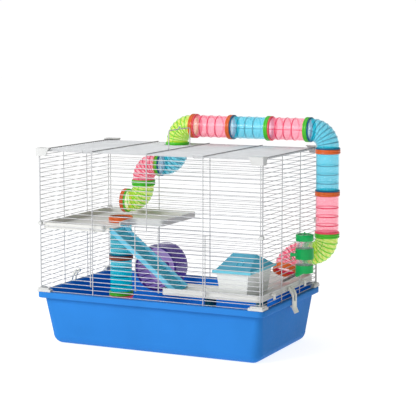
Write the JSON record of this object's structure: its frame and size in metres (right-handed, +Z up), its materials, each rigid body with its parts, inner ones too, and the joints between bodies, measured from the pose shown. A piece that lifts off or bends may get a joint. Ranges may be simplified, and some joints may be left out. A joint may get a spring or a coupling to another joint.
{
  "type": "hamster cage",
  "caption": "Wire cage on a deep tray with a front door, two platforms, a ramp, an exercise wheel, a little house, a drip bottle and a run of coupled tubes over the top and down one side.",
  "frame": {"origin": "middle of the tray's flat underside, at the ground", "axes": "+X to the cage's right seen from the front door, +Y to its back, +Z up; the door is on the -Y face"},
  "size_m": [0.672, 0.3625, 0.5471],
  "materials": {
    "tray_blue": "moulded, satin",
    "wire_white": "white coated wire",
    "clip_white": "moulded, satin",
    "latch_ivory": "moulded, satin",
    "platform_white": "moulded, fine texture",
    "leg_teal": "moulded, satin",
    "ramp_blue": "moulded, satin",
    "tube_cyan": "tinted clear plastic, ribbed",
    "tube_pink": "tinted clear plastic, ribbed",
    "tube_lime": "tinted clear plastic, ribbed",
    "ring_orange": "moulded, satin",
    "ring_green": "moulded, satin",
    "wheel_purple": "tinted clear plastic",
    "axle_steel": "drawn rod",
    "clamp_purple": "moulded, satin",
    "house_grey": "moulded, satin",
    "roof_teal": "moulded, satin",
    "bottle_clear": "clear",
    "bottle_green": "moulded, satin",
    "sipper_steel": "drawn tube"
  },
  "bodies": {
    "cage": {"base_tray": "tray_blue", "front_wires": "wire_white", "back_wires": "wire_white", "left_wires": "wire_white", "right_wires": "wire_white", "top_wires": "wire_white", "top_corner_caps": "clip_white", "bottom_corner_clips": "clip_white", "corner_ties": "clip_white", "top_hooks": "wire_white", "upper_platform": "platform_white", "lower_platform": "platform_white", "platform_legs": "leg_teal", "ramp_hanger": "platform_white", "deck_ring": "ring_orange", "left_tube_upper": "tube_cyan", "left_tube_lower": "tube_cyan", "floor_elbow": "tube_pink", "floor_ring": "ring_orange", "entry_ring": "ring_orange", "entry_elbow": "tube_lime", "turn_elbow": "tube_pink", "drop_elbow": "tube_cyan", "rise_elbow": "tube_lime", "top_tube_a": "tube_pink", "top_tube_b": "tube_cyan", "top_tube_c": "tube_pink", "corner_elbow": "tube_cyan", "side_tube_a": "tube_cyan", "side_tube_b": "tube_pink", "side_elbow": "tube_lime", "exit_elbow": "tube_pink", "exit_ring": "ring_orange", "orange_couplings": "ring_orange", "green_couplings": "ring_green", "wheel_axle": "axle_steel", "wheel_clamp": "clamp_purple", "house_body": "house_grey", "bottle_body": "bottle_clear", "bottle_cap": "bottle_green", "bottle_base": "bottle_green", "bottle_holder": "bottle_green", "sipper_tube": "sipper_steel", "sipper_ball": "sipper_steel"},
    "door": {"front_door": "wire_white"},
    "handle": {"carry_handle": "wire_white"},
    "latch_right": {"right_latch": "latch_ivory"},
    "latch_left": {"left_latch": "latch_ivory"},
    "wheel": {"exercise_wheel": "wheel_purple"},
    "ramp": {"ramp": "ramp_blue"},
    "roof": {"house_roof": "roof_teal"}
  },
  "joints": [
    {"name": "door_swing", "type": "hinge", "parent": "cage", "child": "door", "pos_m": [0, -0.17, 0.153], "axis": [1, 0, 0], "range_deg": [0, 110]},
    {"name": "handle_fold", "type": "hinge", "parent": "cage", "child": "handle", "pos_m": [0, 0, 0.47065], "axis": [0, 1, 0], "range_deg": [-80, 80]},
    {"name": "latch_right_open", "type": "hinge", "parent": "cage", "child": "latch_right", "pos_m": [0.287, 0.002, 0.153], "axis": [0, -1, 0], "range_deg": [0, 110]},
    {"name": "latch_left_open", "type": "hinge", "parent": "cage", "child": "latch_left", "pos_m": [-0.287, 0.002, 0.153], "axis": [0, 1, 0], "range_deg": [0, 110]},
    {"name": "wheel_spin", "type": "hinge", "parent": "cage", "child": "wheel", "pos_m": [-0.112, 0.154, 0.15825], "axis": [0, 1, 0], "continuous": true},
    {"name": "ramp_lift", "type": "hinge", "parent": "cage", "child": "ramp", "pos_m": [-0.11, -0.117, 0.2865], "axis": [0, -1, 0], "range_deg": [0, 35]},
    {"name": "roof_lift", "type": "slide", "parent": "cage", "child": "roof", "axis": [0, 0, 1], "range_m": [0, 0.06]}
  ]
}
